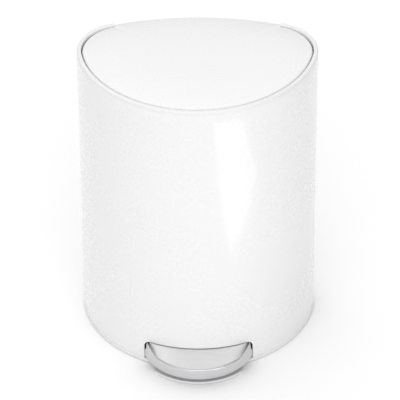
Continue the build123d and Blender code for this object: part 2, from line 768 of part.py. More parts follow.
# Clamp that ties the damper's rod to the lift rod
with BuildPart() as damper_clamp:
    box((-rod_radius - clamp_margin, damper_x + damper_rod_radius + clamp_margin),
        (rod_y - clamp_margin, rod_y + clamp_margin),
        (clamp_level - clamp_thickness / 2, clamp_level + clamp_thickness / 2))
    post((0, rod_y), rod_radius, (damper_bottom, rim_height), Mode.SUBTRACT)
    post((damper_x, rod_y), damper_rod_radius, (damper_bottom, rim_height), Mode.SUBTRACT)
damper_clamp.part.label = "damper_clamp"
export_step(damper_clamp.part, "parts/damper_clamp.step")


def pedal_face(inset, mode=Mode.ADD):
    """Plan of the pedal: a circle cut by the width of the opening and by a line behind the body's front."""
    with BuildSketch(mode=Mode.PRIVATE) as plan:
        with Locations((0, pedal_y)):
            Circle(pedal_radius - inset)
        depth = pedal_rear_y - (pedal_y - pedal_radius)
        with Locations((0, pedal_rear_y - depth / 2)):
            Rectangle(2 * (pedal_half - inset), depth, mode=Mode.INTERSECT)
        fillet(plan.vertices().group_by(Axis.Y)[-1], pedal_corner)
    add(plan.sketch, mode=mode)


# Pedal band: a polished steel tread plate with a deep front wall rolled down round it
with BuildPart() as pedal_band:
    with BuildSketch(Plane.XY.offset(band_bottom)):
        pedal_face(0)
    extrude(amount=pedal_top - band_bottom)
    with BuildSketch(Plane.XY.offset(band_bottom)):
        pedal_face(band_sheet)
    extrude(amount=lever_top - band_bottom, mode=Mode.SUBTRACT)
    with BuildSketch(Plane.XY.offset(lever_top + plate_thickness)):
        pedal_face(band_sheet)
    extrude(amount=pad_thickness, mode=Mode.SUBTRACT)
    box((-pedal_half, pedal_half), (pedal_rear_y - pedal_corner, pedal_rear_y + overcut),
        (band_bottom - overcut, lever_top), Mode.SUBTRACT)
    for place in rivet_places:
        post(place, rivet_radius, (lever_top, pedal_top), Mode.SUBTRACT)
pedal_band.part.label = "pedal_band"
export_step(pedal_band.part, "parts/pedal_band.step")

# Pedal pad: a satin insert that lies in the band with a fine gap round it
with BuildPart() as pedal_pad:
    with BuildSketch(Plane.XY.offset(lever_top + plate_thickness)):
        pedal_face(band_sheet + pad_gap)
    extrude(amount=pad_thickness)
    fillet(pedal_pad.faces().sort_by(Axis.Z)[-1].edges(), pad_round)
pedal_pad.part.label = "pedal_pad"
export_step(pedal_pad.part, "parts/pedal_pad.step")

# Pedal lever: a bar under the bucket with ears down at the axle and slotted ears up at the lift rod
with BuildPart() as pedal_lever:
    box((-lever_half, lever_half), (lever_front_y, lever_slot_y + lever_slot_half + slot_wall),
        (lever_bottom, lever_top))
    for side in (-1, 1):
        with BuildSketch(Plane.YZ.offset(side * (lever_half - lever_ear / 2))):
            with Locations((axle_y, axle_height)):
                Circle(axle_boss)
            with Locations((axle_y, lever_bottom + lever_thickness / 2)):
                Rectangle(4 * axle_boss, lever_thickness)
            make_hull()
            with Locations((lever_slot_y, lever_slot_z)):
                Rectangle(2 * (lever_slot_half + slot_wall), slot_height + 2 * slot_wall)
            with Locations((lever_slot_y, (lever_slot_z + lever_bottom) / 2)):
                Rectangle(2 * (lever_slot_half + slot_wall), lever_slot_z - lever_bottom)
        extrude(amount=lever_ear / 2, both=True)
    slot_across((lever_slot_y, lever_slot_z), lever_slot_half, slot_height, lever_half)
    across((axle_y, axle_height), axle_radius + running_gap, lever_half, Mode.SUBTRACT)
    for place in rivet_places:
        post(place, rivet_radius, (lever_bottom, lever_top), Mode.SUBTRACT)
pedal_lever.part.label = "pedal_lever"
export_step(pedal_lever.part, "parts/pedal_lever.step")

# Rivets that hold the lever under the band
with BuildPart() as pedal_rivets:
    for place in rivet_places:
        post(place, rivet_radius, (lever_bottom, lever_top + plate_thickness))
        post(place, rivet_head_radius, (lever_bottom - plate_thickness, lever_bottom))
pedal_rivets.part.label = "pedal_rivets"
export_step(pedal_rivets.part, "parts/pedal_rivets.step")

print("lid opens", lid_opening, "degrees; rod rises", rod_travel, "mm")
print("pedal turns", round(degrees(lever_angle), 3), "degrees")
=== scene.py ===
from math import radians

import bpy
import numpy as np
from bpy.props import FloatProperty, FloatVectorProperty, PointerProperty
from mathutils import Matrix, Vector


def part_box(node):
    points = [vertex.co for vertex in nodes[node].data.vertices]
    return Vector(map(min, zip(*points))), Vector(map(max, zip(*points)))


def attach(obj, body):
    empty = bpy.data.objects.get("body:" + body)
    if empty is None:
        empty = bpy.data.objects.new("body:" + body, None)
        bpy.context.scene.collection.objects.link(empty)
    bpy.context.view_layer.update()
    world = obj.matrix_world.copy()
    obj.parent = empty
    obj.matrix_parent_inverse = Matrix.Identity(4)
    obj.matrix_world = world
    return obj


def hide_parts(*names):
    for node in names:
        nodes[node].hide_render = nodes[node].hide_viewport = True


bl_info = {
    "name": "Semi-round Step Can",
    "version": (1, 0, 0),
    "blender": (4, 5, 0),
    "location": "3D View > Sidebar > Step Can",
    "description": "Finishes, sheet metal and studio of a semi-round step can",
    "category": "Object",
}

SENSOR_WIDTH = 36.0
CAMERA_CLIP = (0.1, 100.0)
LOW_LAMP_PLACE = (0.225, -0.35, 0.003)
LOW_LAMP_SIZE = (0.2, 0.27)
PLATE_THICKNESS = 0.0015

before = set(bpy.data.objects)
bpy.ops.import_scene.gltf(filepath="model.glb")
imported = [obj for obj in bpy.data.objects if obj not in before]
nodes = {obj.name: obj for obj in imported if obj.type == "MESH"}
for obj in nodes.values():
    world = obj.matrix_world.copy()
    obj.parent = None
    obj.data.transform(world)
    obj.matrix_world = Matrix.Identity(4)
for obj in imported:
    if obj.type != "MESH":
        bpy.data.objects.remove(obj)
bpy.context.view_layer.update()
band_low, band_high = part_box("pedal_band")
pad_low, pad_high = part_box("pedal_pad")
shell_low, shell_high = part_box("outer_shell")
_, lid_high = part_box("lid_skin")


# Settings


def length(label, text, default):
    """Property for a size in metres."""
    return FloatProperty(name=label, description=text, default=default, min=0.0, unit="LENGTH", precision=5)


def colour(label, text, default):
    """Property for a colour."""
    return FloatVectorProperty(name=label, description=text, default=default, min=0.0, max=1.0, subtype="COLOR")


class CanColours(bpy.types.PropertyGroup):
    """Colours of the can's finishes."""

    paint: colour("Paint", "Gloss paint of the shell and the lid", (0.868, 0.868, 0.87))
    moulding: colour("Moulding", "White plastic of the collar and the base", (0.84, 0.842, 0.846))
    liner: colour("Liner", "Pale plastic under the lid and behind the bucket", (0.6, 0.605, 0.615))
    bucket: colour("Bucket", "Grey plastic of the inner bucket", (0.1, 0.105, 0.11))
    black: colour("Black plastic", "Plastic of the guides, the yoke and the damper", (0.022, 0.022, 0.023))
    rubber: colour("Rubber", "Rubber of the feet and the rim bumpers", (0.045, 0.045, 0.047))
    polished: colour("Polished steel", "Mirror finish of the pedal's band", (0.62, 0.62, 0.63))
    satin: colour("Satin steel", "Satin finish of the pedal's pad", (0.72, 0.72, 0.725))
    plain: colour("Plain steel", "Plated steel of the hinge, the rod and the lever", (0.5, 0.5, 0.505))


class ShellSizes(bpy.types.PropertyGroup):
    """Sizes of the wrapped sheet."""

    front_radius: length("Front radius", "Radius of the round front", 0.118)
    rear_radius: length("Rear radius", "Radius of the nearly flat back", 0.316)
    corner_radius: length("Corner radius", "Radius of the two rear corners", 0.0463)
    thickness: length("Sheet", "Thickness of the steel sheet", 0.0008)
    opening_half: length("Opening half width", "Half the width of the pedal's opening", 0.054)
    opening_top: length("Opening top", "Height of the opening's top edge", 0.027)
    opening_corner: length("Opening corner", "Rounding of the opening's top corners", 0.0065)
    notch_half: length("Notch half width", "Half the width of the notch for the lid's tail", 0.0816)
    notch_level: length("Notch level", "Height of the notch's lower edge", 0.3034)


class LidSizes(bpy.types.PropertyGroup):
    """Sizes of the lid's skin."""

    rim: length("Rim", "Width of the rim round the lid", 0.0042)
    gap: length("Gap", "Gap between the lid and the rim, in front and at the sides", 0.00115)
    rear_gap: length("Rear gap", "Gap between the lid and the rim at the rear corners", 0.0006)
    narrowing: length("Narrowing", "How far behind the middle the gap starts to narrow", 0.058)
    narrowed: length("Narrowed", "How far behind the middle the gap is narrowest", 0.08)
    tail_half: length("Tail half width", "Half the width of the tail that wraps over the back", 0.0812)
    skin: length("Skin", "Thickness of the lid's skin", 0.001)
    swell: length("Swell", "Height of the middle over the edge", 0.0031)
    swell_power: FloatProperty(
        name="Fullness", description="2 is an even dome, and more is flatter in the middle", default=3.0, min=1.0)
    corner_fall: length("Corner fall", "How far the lid falls away at its sides and rear corners", 0.0016)
    fall_reach: length("Fall reach", "How far inside the edge it falls away", 0.014)
    edge_round: length("Edge rounding", "Rounding of the lid's edge", 0.0022)
    tail_round: length("Tail rounding", "Rounding of the tail's edge", 0.0032)
    crease: length("Crease", "Depth of the fine crease beside the rounded edge", 0.0001)
    wall_bottom: length("Wall bottom", "Height of the lower edge of the lid's wall", 0.3125)
    corner_bottom: length("Corner bottom", "Height of that edge at the rear corners, where it swings past the rim",
                          0.3148)
    tail_bottom: length("Tail bottom", "Height of the tail's lower edge", 0.305)


class PedalSizes(bpy.types.PropertyGroup):
    """Sizes of the pedal's band and pad."""

    radius: length("Pedal radius", "Radius of the pedal's round front", 0.057)
    corner: length("Corner", "Rounding of the pedal's rear corners", 0.0015)
    wall: length("Wall", "Thickness of the band's steel", 0.0012)
    lean: length("Lean", "How far the band's front wall curves back from its foot to its top", 0.0016)
    rim_round: length("Rim rounding", "Rounding of the band's top edge outside", 0.0008)
    seat_round: length("Seat rounding", "Rounding of the band's top edge beside the pad", 0.0003)
    hem_round: length("Hem rounding", "Rounding of the band's lower edge", 0.0006)
    end_rise: length("End rise", "How far the band's rim rises at its two ends", 0.0055)
    end_start: length("End start", "How far from the middle the rim begins to rise", 0.04)
    end_run: length("End run", "Width over which it rises", 0.0105)
    end_gap: length("End gap", "Gap between the risen rim and the opening's corner", 0.0007)
    pad_gap: length("Pad gap", "Gap between the pad and the band", 0.0005)
    pad_round: length("Pad rounding", "Rounding of the pad's edge", 0.0005)
    pad_rise: length("Pad rise", "How far the pad rises from its front edge to the opening", 0.0061)
    pad_ramp: length("Pad ramp", "Least depth over which the pad rises", 0.0035)


class StudioSettings(bpy.types.PropertyGroup):
    """Camera, lamp, room and floor of the studio."""

    yaw: FloatProperty(
        name="Yaw", description="Turn of the view round the can", subtype="ANGLE", default=radians(-0.5325))
    elevation: FloatProperty(
        name="Elevation", description="Height of the view above the horizon", subtype="ANGLE",
        default=radians(37.306))
    roll: FloatProperty(
        name="Roll", description="Tilt of the picture", subtype="ANGLE", default=radians(-0.367))
    distance: length("Distance", "From the camera to its aim", 3.6376)
    lens: FloatProperty(name="Lens", description="Focal length in millimetres", default=326.87, min=1.0)
    aim_side: length("Aim across", "How far right of the middle the camera aims", 0.001452)
    aim_back: length("Aim depth", "How far back the camera aims", 0.051)
    aim_height: length("Aim height", "How high the camera aims", 0.122617)
    overhead: FloatProperty(name="Overhead", description="Brightness of the room overhead", default=0.9, min=0.0)
    front: FloatProperty(name="Front", description="Brightness of the room in front", default=1.86, min=0.0)
    front_height: FloatProperty(
        name="Front height", description="Elevation of the brightest part in front", subtype="ANGLE",
        default=radians(15.0))
    behind: FloatProperty(name="Behind", description="Brightness of the room behind", default=0.6, min=0.0)
    behind_turn: FloatProperty(
        name="Behind turn", description="Direction of the light behind, from the front towards the right",
        subtype="ANGLE", default=radians(-150.0))
    behind_height: FloatProperty(
        name="Behind height", description="Elevation of the light behind", subtype="ANGLE", default=radians(50.0))
    low_power: FloatProperty(
        name="Low lamp", description="Power of the level lamp whose image is the body's streak", default=0.2, min=0.0)
    floor_size: length("Floor size", "Half the width of the floor", 8.0)
    floor_tone: FloatProperty(
        name="Floor tone", description="Grey of the floor as it lights the can", default=0.8, min=0.0, max=1.0)
    floor_shown: FloatProperty(
        name="Floor shown", description="Grey of the floor as the camera sees it", default=1.0, min=0.0)


# Shader helpers


def place_node(tree, kind, values=None, **settings):
    """Add a node, set its options, and fill its inputs with values or links."""
    made = tree.nodes.new(kind)
    for key, value in settings.items():
        setattr(made, key, value)
    for key, value in (values or {}).items():
        if isinstance(value, bpy.types.NodeSocket):
            tree.links.new(value, made.inputs[key])
        else:
            made.inputs[key].default_value = value
    return made


def new_group(name, inputs, outputs):
    """Empty shader group with named sockets; returns its tree and its two ends."""
    tree = bpy.data.node_groups.new(name, "ShaderNodeTree")
    for label, kind, value in inputs:
        socket = tree.interface.new_socket(label, in_out="INPUT", socket_type=kind)
        if value is not None:
            socket.default_value = value
    for label, kind in outputs:
        tree.interface.new_socket(label, in_out="OUTPUT", socket_type=kind)
    return tree, tree.nodes.new("NodeGroupInput"), tree.nodes.new("NodeGroupOutput")


def noise(tree, vector, scale, detail=2.0, roughness=0.5):
    """Value of a noise pattern."""
    return place_node(tree, "ShaderNodeTexNoise", {
        "Vector": vector, "Scale": scale, "Detail": detail, "Roughness": roughness}).outputs["Fac"]


def spread(tree, value, low, high, to_low=0.0, to_high=1.0):
    """Value stretched from one range to another and held inside it."""
    return place_node(tree, "ShaderNodeMapRange", {
        "Value": value, "From Min": low, "From Max": high, "To Min": to_low, "To Max": to_high}).outputs["Result"]


def make_tone_group():
    """Slow drift between two tones of one colour, as thick paint and moulded plastic show."""
    tree, start, end = new_group("Tone drift", [
        ("Vector", "NodeSocketVector", None), ("Scale", "NodeSocketFloat", 12.0),
        ("Deep", "NodeSocketColor", (0.5, 0.5, 0.5, 1)), ("Pale", "NodeSocketColor", (0.8, 0.8, 0.8, 1))],
        [("Colour", "NodeSocketColor")])
    drift = spread(tree, noise(tree, start.outputs["Vector"], start.outputs["Scale"], 3.0), 0.35, 0.65)
    mix = place_node(tree, "ShaderNodeMix", {0: drift}, data_type="RGBA")
    tree.links.new(start.outputs["Deep"], mix.inputs[6])
    tree.links.new(start.outputs["Pale"], mix.inputs[7])
    tree.links.new(mix.outputs[2], end.inputs["Colour"])
    return tree


def make_smudge_group():
    """Roughness between a least and a most value, from large soft wipes broken up by small specks."""
    tree, start, end = new_group("Smudges", [
        ("Vector", "NodeSocketVector", None), ("Scale", "NodeSocketFloat", 20.0),
        ("Least", "NodeSocketFloat", 0.2), ("Most", "NodeSocketFloat", 0.3)],
        [("Roughness", "NodeSocketFloat")])
    wipe = noise(tree, start.outputs["Vector"], start.outputs["Scale"], 2.0)
    finer = place_node(tree, "ShaderNodeVectorMath", {0: start.outputs["Vector"], "Scale": 23.0}, operation="SCALE")
    speck = noise(tree, finer.outputs["Vector"], start.outputs["Scale"], 4.0, 0.7)
    both = place_node(tree, "ShaderNodeMath", {0: wipe, 1: speck}, operation="ADD")
    result = spread(tree, both.outputs["Value"], 0.75, 1.25, start.outputs["Least"], start.outputs["Most"])
    tree.links.new(result, end.inputs["Roughness"])
    return tree


def make_grain_group():
    """Height of a fine even grain: soft lumps with a share of sharper pits."""
    tree, start, end = new_group("Surface grain", [
        ("Vector", "NodeSocketVector", None), ("Scale", "NodeSocketFloat", 400.0),
        ("Pits", "NodeSocketFloat", 0.3)],
        [("Height", "NodeSocketFloat")])
    lumps = noise(tree, start.outputs["Vector"], start.outputs["Scale"], 2.0)
    cells = place_node(tree, "ShaderNodeTexVoronoi", {
        "Vector": start.outputs["Vector"], "Scale": start.outputs["Scale"]}, feature="SMOOTH_F1")
    pits = place_node(tree, "ShaderNodeMath", {0: cells.outputs["Distance"], 1: start.outputs["Pits"]},
                      operation="MULTIPLY")
    height = place_node(tree, "ShaderNodeMath", {0: lumps, 1: pits.outputs["Value"]}, operation="ADD")
    tree.links.new(height.outputs["Value"], end.inputs["Height"])
    return tree


def make_brushed_group():
    """Fine parallel lines left by brushing, along the direction in which the vector is squeezed."""
    tree, start, end = new_group("Brushed lines", [
        ("Vector", "NodeSocketVector", None), ("Fineness", "NodeSocketFloat", 1.0),
        ("Least", "NodeSocketFloat", 0.25), ("Most", "NodeSocketFloat", 0.4)],
        [("Lines", "NodeSocketFloat"), ("Roughness", "NodeSocketFloat")])
    fine = noise(tree, start.outputs["Vector"], start.outputs["Fineness"], 3.0, 0.6)
    half = place_node(tree, "ShaderNodeVectorMath", {0: start.outputs["Vector"], "Scale": 0.23}, operation="SCALE")
    broad = noise(tree, half.outputs["Vector"], start.outputs["Fineness"], 2.0)
    both = place_node(tree, "ShaderNodeMath", {0: fine, 1: broad}, operation="MULTIPLY")
    lines = spread(tree, both.outputs["Value"], 0.12, 0.4)
    tree.links.new(lines, end.inputs["Lines"])
    tree.links.new(spread(tree, lines, 0.0, 1.0, start.outputs["Least"], start.outputs["Most"]),
                   end.inputs["Roughness"])
    return tree


GROUP_MAKERS = {
    "Tone drift": make_tone_group, "Smudges": make_smudge_group,
    "Surface grain": make_grain_group, "Brushed lines": make_brushed_group,
}


def use_group(tree, name, values):
    """Place a shared group, making it the first time it is asked for."""
    group = bpy.data.node_groups.get(name) or GROUP_MAKERS[name]()
    return place_node(tree, "ShaderNodeGroup", values, node_tree=group).outputs


def new_material(name, constants):
    """Node material with a Principled shader whose fixed values are set on its own sockets."""
    material = bpy.data.materials.new(name)
    material.use_nodes = True
    tree = material.node_tree
    tree.nodes.clear()
    surface = tree.nodes.new("ShaderNodeOutputMaterial")
    shader = place_node(tree, "ShaderNodeBsdfPrincipled", constants)
    tree.links.new(shader.outputs["BSDF"], surface.inputs["Surface"])
    where = tree.nodes.new("ShaderNodeTexCoord").outputs["Object"]
    return material, tree, shader, where


def tones(colour_value, depth):
    """Deeper and paler tone round a colour."""
    base = np.array(colour_value[:3])
    return (*(base * (1 - depth)), 1.0), (*np.minimum(base * (1 + depth), 1.0), 1.0)


def bump(tree, shader, height, strength, distance):
    """Lead a height into the shader's normal."""
    made = place_node(tree, "ShaderNodeBump", {"Height": height, "Strength": strength, "Distance": distance})
    tree.links.new(made.outputs["Normal"], shader.inputs["Normal"])


def coated(name, colour_value, drift, gloss, grain, **constants):
    """Paint, plastic or rubber: drifting tone, smudged roughness and a fine grain.
    drift is (scale, depth), gloss is (scale, least, most), grain is (scale, pits, strength, distance)."""
    material, tree, shader, where = new_material(name, constants)
    deep, pale = tones(colour_value, drift[1])
    tone = use_group(tree, "Tone drift", {"Vector": where, "Scale": drift[0], "Deep": deep, "Pale": pale})
    tree.links.new(tone["Colour"], shader.inputs["Base Color"])
    wiped = use_group(tree, "Smudges", {"Vector": where, "Scale": gloss[0], "Least": gloss[1], "Most": gloss[2]})
    tree.links.new(wiped["Roughness"], shader.inputs["Roughness"])
    lumps = use_group(tree, "Surface grain", {"Vector": where, "Scale": grain[0], "Pits": grain[1]})
    bump(tree, shader, lumps["Height"], grain[2], grain[3])
    return material


def brushed(name, colour_value, squeeze, depth, rough, relief, **constants):
    """Brushed or drawn steel: lines along one axis that touch colour, roughness and height.
    squeeze is how often the pattern repeats per metre along X, Y and Z."""
    material, tree, shader, where = new_material(name, {"Metallic": 1.0, **constants})
    stretched = place_node(tree, "ShaderNodeMapping", {"Vector": where, "Scale": squeeze})
    lines = use_group(tree, "Brushed lines", {
        "Vector": stretched.outputs["Vector"], "Least": rough[0], "Most": rough[1]})
    deep, pale = tones(colour_value, depth)
    mix = place_node(tree, "ShaderNodeMix", {0: lines["Lines"], 6: deep, 7: pale}, data_type="RGBA")
    tree.links.new(mix.outputs[2], shader.inputs["Base Color"])
    tree.links.new(lines["Roughness"], shader.inputs["Roughness"])
    bump(tree, shader, lines["Lines"], relief[0], relief[1])
    return material


def dress(material, *names):
    """Give CAD nodes a material."""
    for name in names:
        slots = nodes[name].data.materials
        slots.clear()
        slots.append(material)


# Surfaces on a grid


def grid_object(name, points, material, body, wrap_rows=False, poles=False, sharp=radians(35)):
    """Mesh on an array of points (rows, columns, 3), whose columns join into a ring.
    wrap_rows joins the last row to the first; poles draws the first and the last row together to one point,
    where a face loses the corner that it would have twice."""
    rows, columns = points.shape[:2]
    number = np.arange(rows * columns).reshape(rows, columns)
    if poles:
        number[0] = 0
        number[-1] = number[-1, 0]
    after = np.roll(number, -1, axis=1)
    low, high = (number, np.roll(number, -1, axis=0)) if wrap_rows else (number[:-1], number[1:])
    low_after, high_after = (after, np.roll(after, -1, axis=0)) if wrap_rows else (after[:-1], after[1:])
    quads = np.stack([low, low_after, high_after, high], axis=-1).reshape(-1, 4)
    kept = np.ones(quads.shape, bool)
    kept[:, 1] = quads[:, 1] != quads[:, 0]
    kept[:, 3] = quads[:, 3] != quads[:, 2]
    corners = kept.sum(axis=1)
    used, places = np.unique(quads[kept], return_inverse=True)
    mesh = bpy.data.meshes.new(name)
    mesh.vertices.add(len(used))
    mesh.vertices.foreach_set("co", points.reshape(-1, 3)[used].astype(np.float32).ravel())
    mesh.loops.add(len(places))
    mesh.loops.foreach_set("vertex_index", places.astype(np.int32))
    mesh.polygons.add(len(quads))
    mesh.polygons.foreach_set("loop_start", (np.cumsum(corners) - corners).astype(np.int32))
    mesh.polygons.foreach_set("use_smooth", np.ones(len(quads), bool))
    mesh.update(calc_edges=True)
    mesh.set_sharp_from_angle(angle=sharp)
    mesh.validate()
    mesh.materials.append(material)
    made = bpy.data.objects.new(name, mesh)
    bpy.context.scene.collection.objects.link(made)
    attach(made, body)
    return made


def arc(centre, radius, start, stop, count, ends=True):
    """Points of a circular arc; angles are in radians from +X towards +Y."""
    angle = np.linspace(start, stop, count, endpoint=ends)
    return np.stack([centre[0] + radius * np.cos(angle), centre[1] + radius * np.sin(angle)], axis=-1)


# Shell

# Columns round the shell's front, each rear corner and the back, and in each rounded corner of the opening
FRONT_COLUMNS, CORNER_COLUMNS, BACK_COLUMNS, OPENING_COLUMNS = 161, 33, 81, 9
# Two columns this far either side of a cut make its upright edge
CUT_STEP = 5e-6
# Rows up the flat of the sheet, and from one face round the edge to the other
SHEET_SHARES = (0.0, 0.04, 0.5, 0.96, 1.0)
EDGE_ROWS = 7


def d_outline(sizes, inset):
    """Closed D outline seen from above, `inset` inside the shell, as (columns, 2).
    Four arcs that touch: the round front, the two rear corners and the nearly flat back.
    Extra columns stand at the edges of the pedal's opening and of the tail's notch."""
    front, rear, corner = sizes.front_radius, sizes.rear_radius, sizes.corner_radius
    depth = shell_high.y - shell_low.y
    middle = shell_low.y + front
    rear_middle = depth - front - rear
    to_front, to_rear = front - corner, rear - corner
    y = (to_front**2 - to_rear**2 + rear_middle**2) / (2 * rear_middle)
    x = np.sqrt(to_front**2 - y**2)
    low, high = np.arctan2(y, x), np.arctan2(y - rear_middle, x)
    near = CUT_STEP
    cut, bend = sizes.opening_half, sizes.opening_corner
    marks = np.concatenate([[cut + near, cut - near], cut - bend * (1 - np.sin(np.linspace(1.4, 0, OPENING_COLUMNS)))])
    cuts = np.arcsin(np.concatenate([-marks, marks]) / front)
    angles = np.sort(np.concatenate([np.linspace(-np.pi / 2 - low, np.pi / 2 + low, FRONT_COLUMNS)[1:-1], cuts]))
    gap = np.append(True, np.diff(angles) > near / front)
    angles = angles[gap]
    around = front - inset
    front_run = np.stack([around * np.sin(angles), middle - around * np.cos(angles)], axis=-1)
    right = arc((x, middle + y), corner - inset, low, high, CORNER_COLUMNS)
    notch = np.arcsin(np.array([sizes.notch_half + near, sizes.notch_half - near]) / rear)
    spread_half = np.pi / 2 - high
    across = np.sort(np.concatenate([np.linspace(-spread_half, spread_half, BACK_COLUMNS)[1:-1], notch, -notch]))[::-1]
    back = rear - inset
    back_run = np.stack([back * np.sin(across), middle + rear_middle + back * np.cos(across)], axis=-1)
    left = right[::-1] * (-1, 1)
    return np.concatenate([front_run, right, back_run, left]), middle


def make_shell(sizes, material):
    """One wrapped sheet. Rows run round the sheet's thickness: up the outside, over the top edge, down the inside
    and under the lower edge, which rises over the pedal's opening; the top edge dips at the notch for the tail."""
    outer, middle = d_outline(sizes, 0.0)
    inner, _ = d_outline(sizes, sizes.thickness)
    centre, _ = d_outline(sizes, sizes.thickness / 2)
    half = sizes.thickness / 2
    x, y = outer[:, 0], outer[:, 1]
    beyond = np.clip(np.abs(x) - (sizes.opening_half - sizes.opening_corner), 0, sizes.opening_corner)
    curve = sizes.opening_corner - np.sqrt(np.maximum(sizes.opening_corner**2 - beyond**2, 0))
    opened = (np.abs(x) < sizes.opening_half) & (y < middle)
    low = np.where(opened, sizes.opening_top - curve, shell_low.z)
    high = np.where((np.abs(x) < sizes.notch_half) & (y > middle), sizes.notch_level, shell_high.z)
    turn = np.linspace(0, np.pi, EDGE_ROWS)
    way = (outer - inner) / sizes.thickness
    rows = []
    for share in SHEET_SHARES:
        rows.append(np.column_stack([outer, low + half + share * (high - low - 2 * half)]))
    for angle in turn[1:-1]:
        rows.append(np.column_stack([centre + way * half * np.cos(angle), high - half + half * np.sin(angle)]))
    for share in SHEET_SHARES[::-1]:
        rows.append(np.column_stack([inner, low + half + share * (high - low - 2 * half)]))
    for angle in turn[1:-1]:
        rows.append(np.column_stack([centre - way * half * np.cos(angle), low + half - half * np.sin(angle)]))
    made = grid_object("shell_sheet", np.array(rows), material, "can", wrap_rows=True)
    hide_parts("outer_shell")
    return made


# Lid

# Rows of the lid's top, from its middle to its rounded edge, closer towards the edge
LID_SHARES = np.concatenate([np.linspace(0, 0.8, 17), np.linspace(0.83, 0.97, 8), [0.985, 0.993]])


def make_lid(shell, sizes, material):
    """Swelling skin with a rounded edge, whose wall turns down inside the rim and whose tail wraps over the back.
    The top is h = apex - swell * share**power - fall * exp(-distance to the edge / reach), where share runs from
    0 in the middle to 1 at the edge, and fall grows towards the sides and the rear corners. Rows run from the
    middle to the edge, down the wall, round its lower edge and back under the skin."""
    outer, middle = d_outline(shell, 0.0)
    way = (outer - d_outline(shell, shell.thickness)[0]) / shell.thickness
    behind = outer[:, 1] - middle
    narrow = np.clip((outer[:, 1] - sizes.narrowing) / (sizes.narrowed - sizes.narrowing), 0, 1)
    narrow = narrow**2 * (3 - 2 * narrow)
    inset = sizes.rim + sizes.gap + narrow * (sizes.rear_gap - sizes.gap)
    plain = outer - way * inset[:, None]
    half = sizes.tail_half
    tail = (np.abs(outer[:, 0]) < half) & (behind > 0)
    beside = (np.abs(plain[:, 0]) >= half) | (behind <= 0)
    edge = np.where(tail[:, None], outer, plain)
    bottom = np.where(tail, sizes.tail_bottom, sizes.wall_bottom + narrow * (sizes.corner_bottom - sizes.wall_bottom))
    bend = np.where(tail, sizes.tail_round, sizes.edge_round)
    kept = tail | beside
    edge, way, tail, bottom, bend = edge[kept], way[kept], tail[kept], bottom[kept], bend[kept]
    turn = np.flatnonzero(tail != np.roll(tail, 1))
    for place in np.concatenate([turn, turn - 1]):
        edge[place, 0] = np.sign(edge[place, 0]) * half
    centre = np.array([0.0, (shell_low.y + shell_high.y) / 2])
    apex = lid_high.z
    foot = edge - way * bend[:, None]
    away = np.linalg.norm(foot - centre, axis=1)
    sideways = np.clip(np.abs(edge[:, 0]) / (sizes.tail_half * 1.2), 0, 1) ** 2
    rearward = np.clip((edge[:, 1] - shell_low.y) / (middle - shell_low.y), 0, 1) ** 2
    fall = sizes.corner_fall * sideways * rearward
    skin = sizes.skin

    def top(share):
        """Height of the top at a share of the way to the edge."""
        drop = fall * np.exp((share - 1) * away / sizes.fall_reach)
        return apex - sizes.swell * share**sizes.swell_power - drop

    shoulder = top(1.0)

    def ring(plan, height):
        """Row of points at a height over a plan."""
        return np.column_stack([plan, np.broadcast_to(height, len(plan))])

    shares = LID_SHARES
    rows = []
    for share in shares:
        rows.append(ring(centre + share * (foot - centre), top(share)))
    rows.append(ring(foot, shoulder - sizes.crease))
    for angle in np.radians(np.linspace(90, 0, 10)):
        plan = edge - way * (bend * (1 - np.cos(angle)))[:, None]
        if angle < np.radians(89):
            rows.append(ring(plan, shoulder - bend * (1 - np.sin(angle))))
    rows.append(ring(edge, np.minimum(bottom + skin, shoulder - bend - skin / 4)))
    for angle in np.radians((0, 45, 90, 135, 180)):
        plan = edge - way * (skin / 2 * (1 - np.cos(angle)))
        rows.append(ring(plan, np.minimum(bottom + skin / 2, shoulder - bend - skin / 3) - skin / 2 * np.sin(angle)))
    inside = bend - skin
    for angle in np.radians(np.linspace(0, 90, 7)):
        plan = edge - way * (skin + inside * (1 - np.cos(angle)))[:, None]
        rows.append(ring(plan, shoulder - bend + inside * np.sin(angle)))
    for share in shares[:0:-3]:
        rows.append(ring(centre + share * (foot - centre), top(share) - skin))
    rows.append(ring(np.broadcast_to(centre, foot.shape), apex - skin))
    made = grid_object("lid_pan", np.array(rows[::-1]), material, "lid", poles=True)
    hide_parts("lid_skin")
    return made


# Pedal


def pedal_outline(sizes, inset):
    """Closed outline of the pedal seen from above, `inset` inside its front and its sides, as (columns, 2).
    A wide front arc, two short sides, two rounded rear corners and a straight rear edge."""
    radius = sizes.radius - inset
    half = band_high.x - inset
    middle = band_low.y + sizes.radius
    rear = band_high.y
    reach = np.arcsin(half / radius)
    angle = np.linspace(-reach, reach, 121)
    front = np.stack([radius * np.sin(angle), middle - radius * np.cos(angle)], axis=-1)
    corner = arc((half - sizes.corner, rear - sizes.corner), sizes.corner, 0, np.pi / 2, 8)
    straight = np.linspace(half - sizes.corner, sizes.corner - half, 26)[1:-1]
    back = np.stack([straight, np.full_like(straight, rear)], axis=-1)
    return np.concatenate([front, corner, back, corner[::-1] * (-1, 1)])


def pedal_rows(sizes, profile):
    """Rows of a body whose profile is carried round the pedal's outline.
    profile lists (inset, height, share): share 1 is the outline at that inset, 0 the middle of the pedal."""
    middle = np.array([0.0, (band_low.y + band_high.y) / 2])
    rows = []
    for inset, height, share in profile:
        plan = middle + share * (pedal_outline(sizes, inset) - middle)
        rows.append(np.column_stack([plan, np.full(len(plan), height)]))
    return np.array(rows)


def quarter(centre, radius, start, stop, count=6):
    """Rounding of a profile: (inset, height, 1) on an arc; angles in degrees, 0 outwards and 90 up."""
    angle = np.radians(np.linspace(start, stop, count))
    return [(centre[0] - radius * np.cos(a), centre[1] + radius * np.sin(a), 1.0) for a in angle]


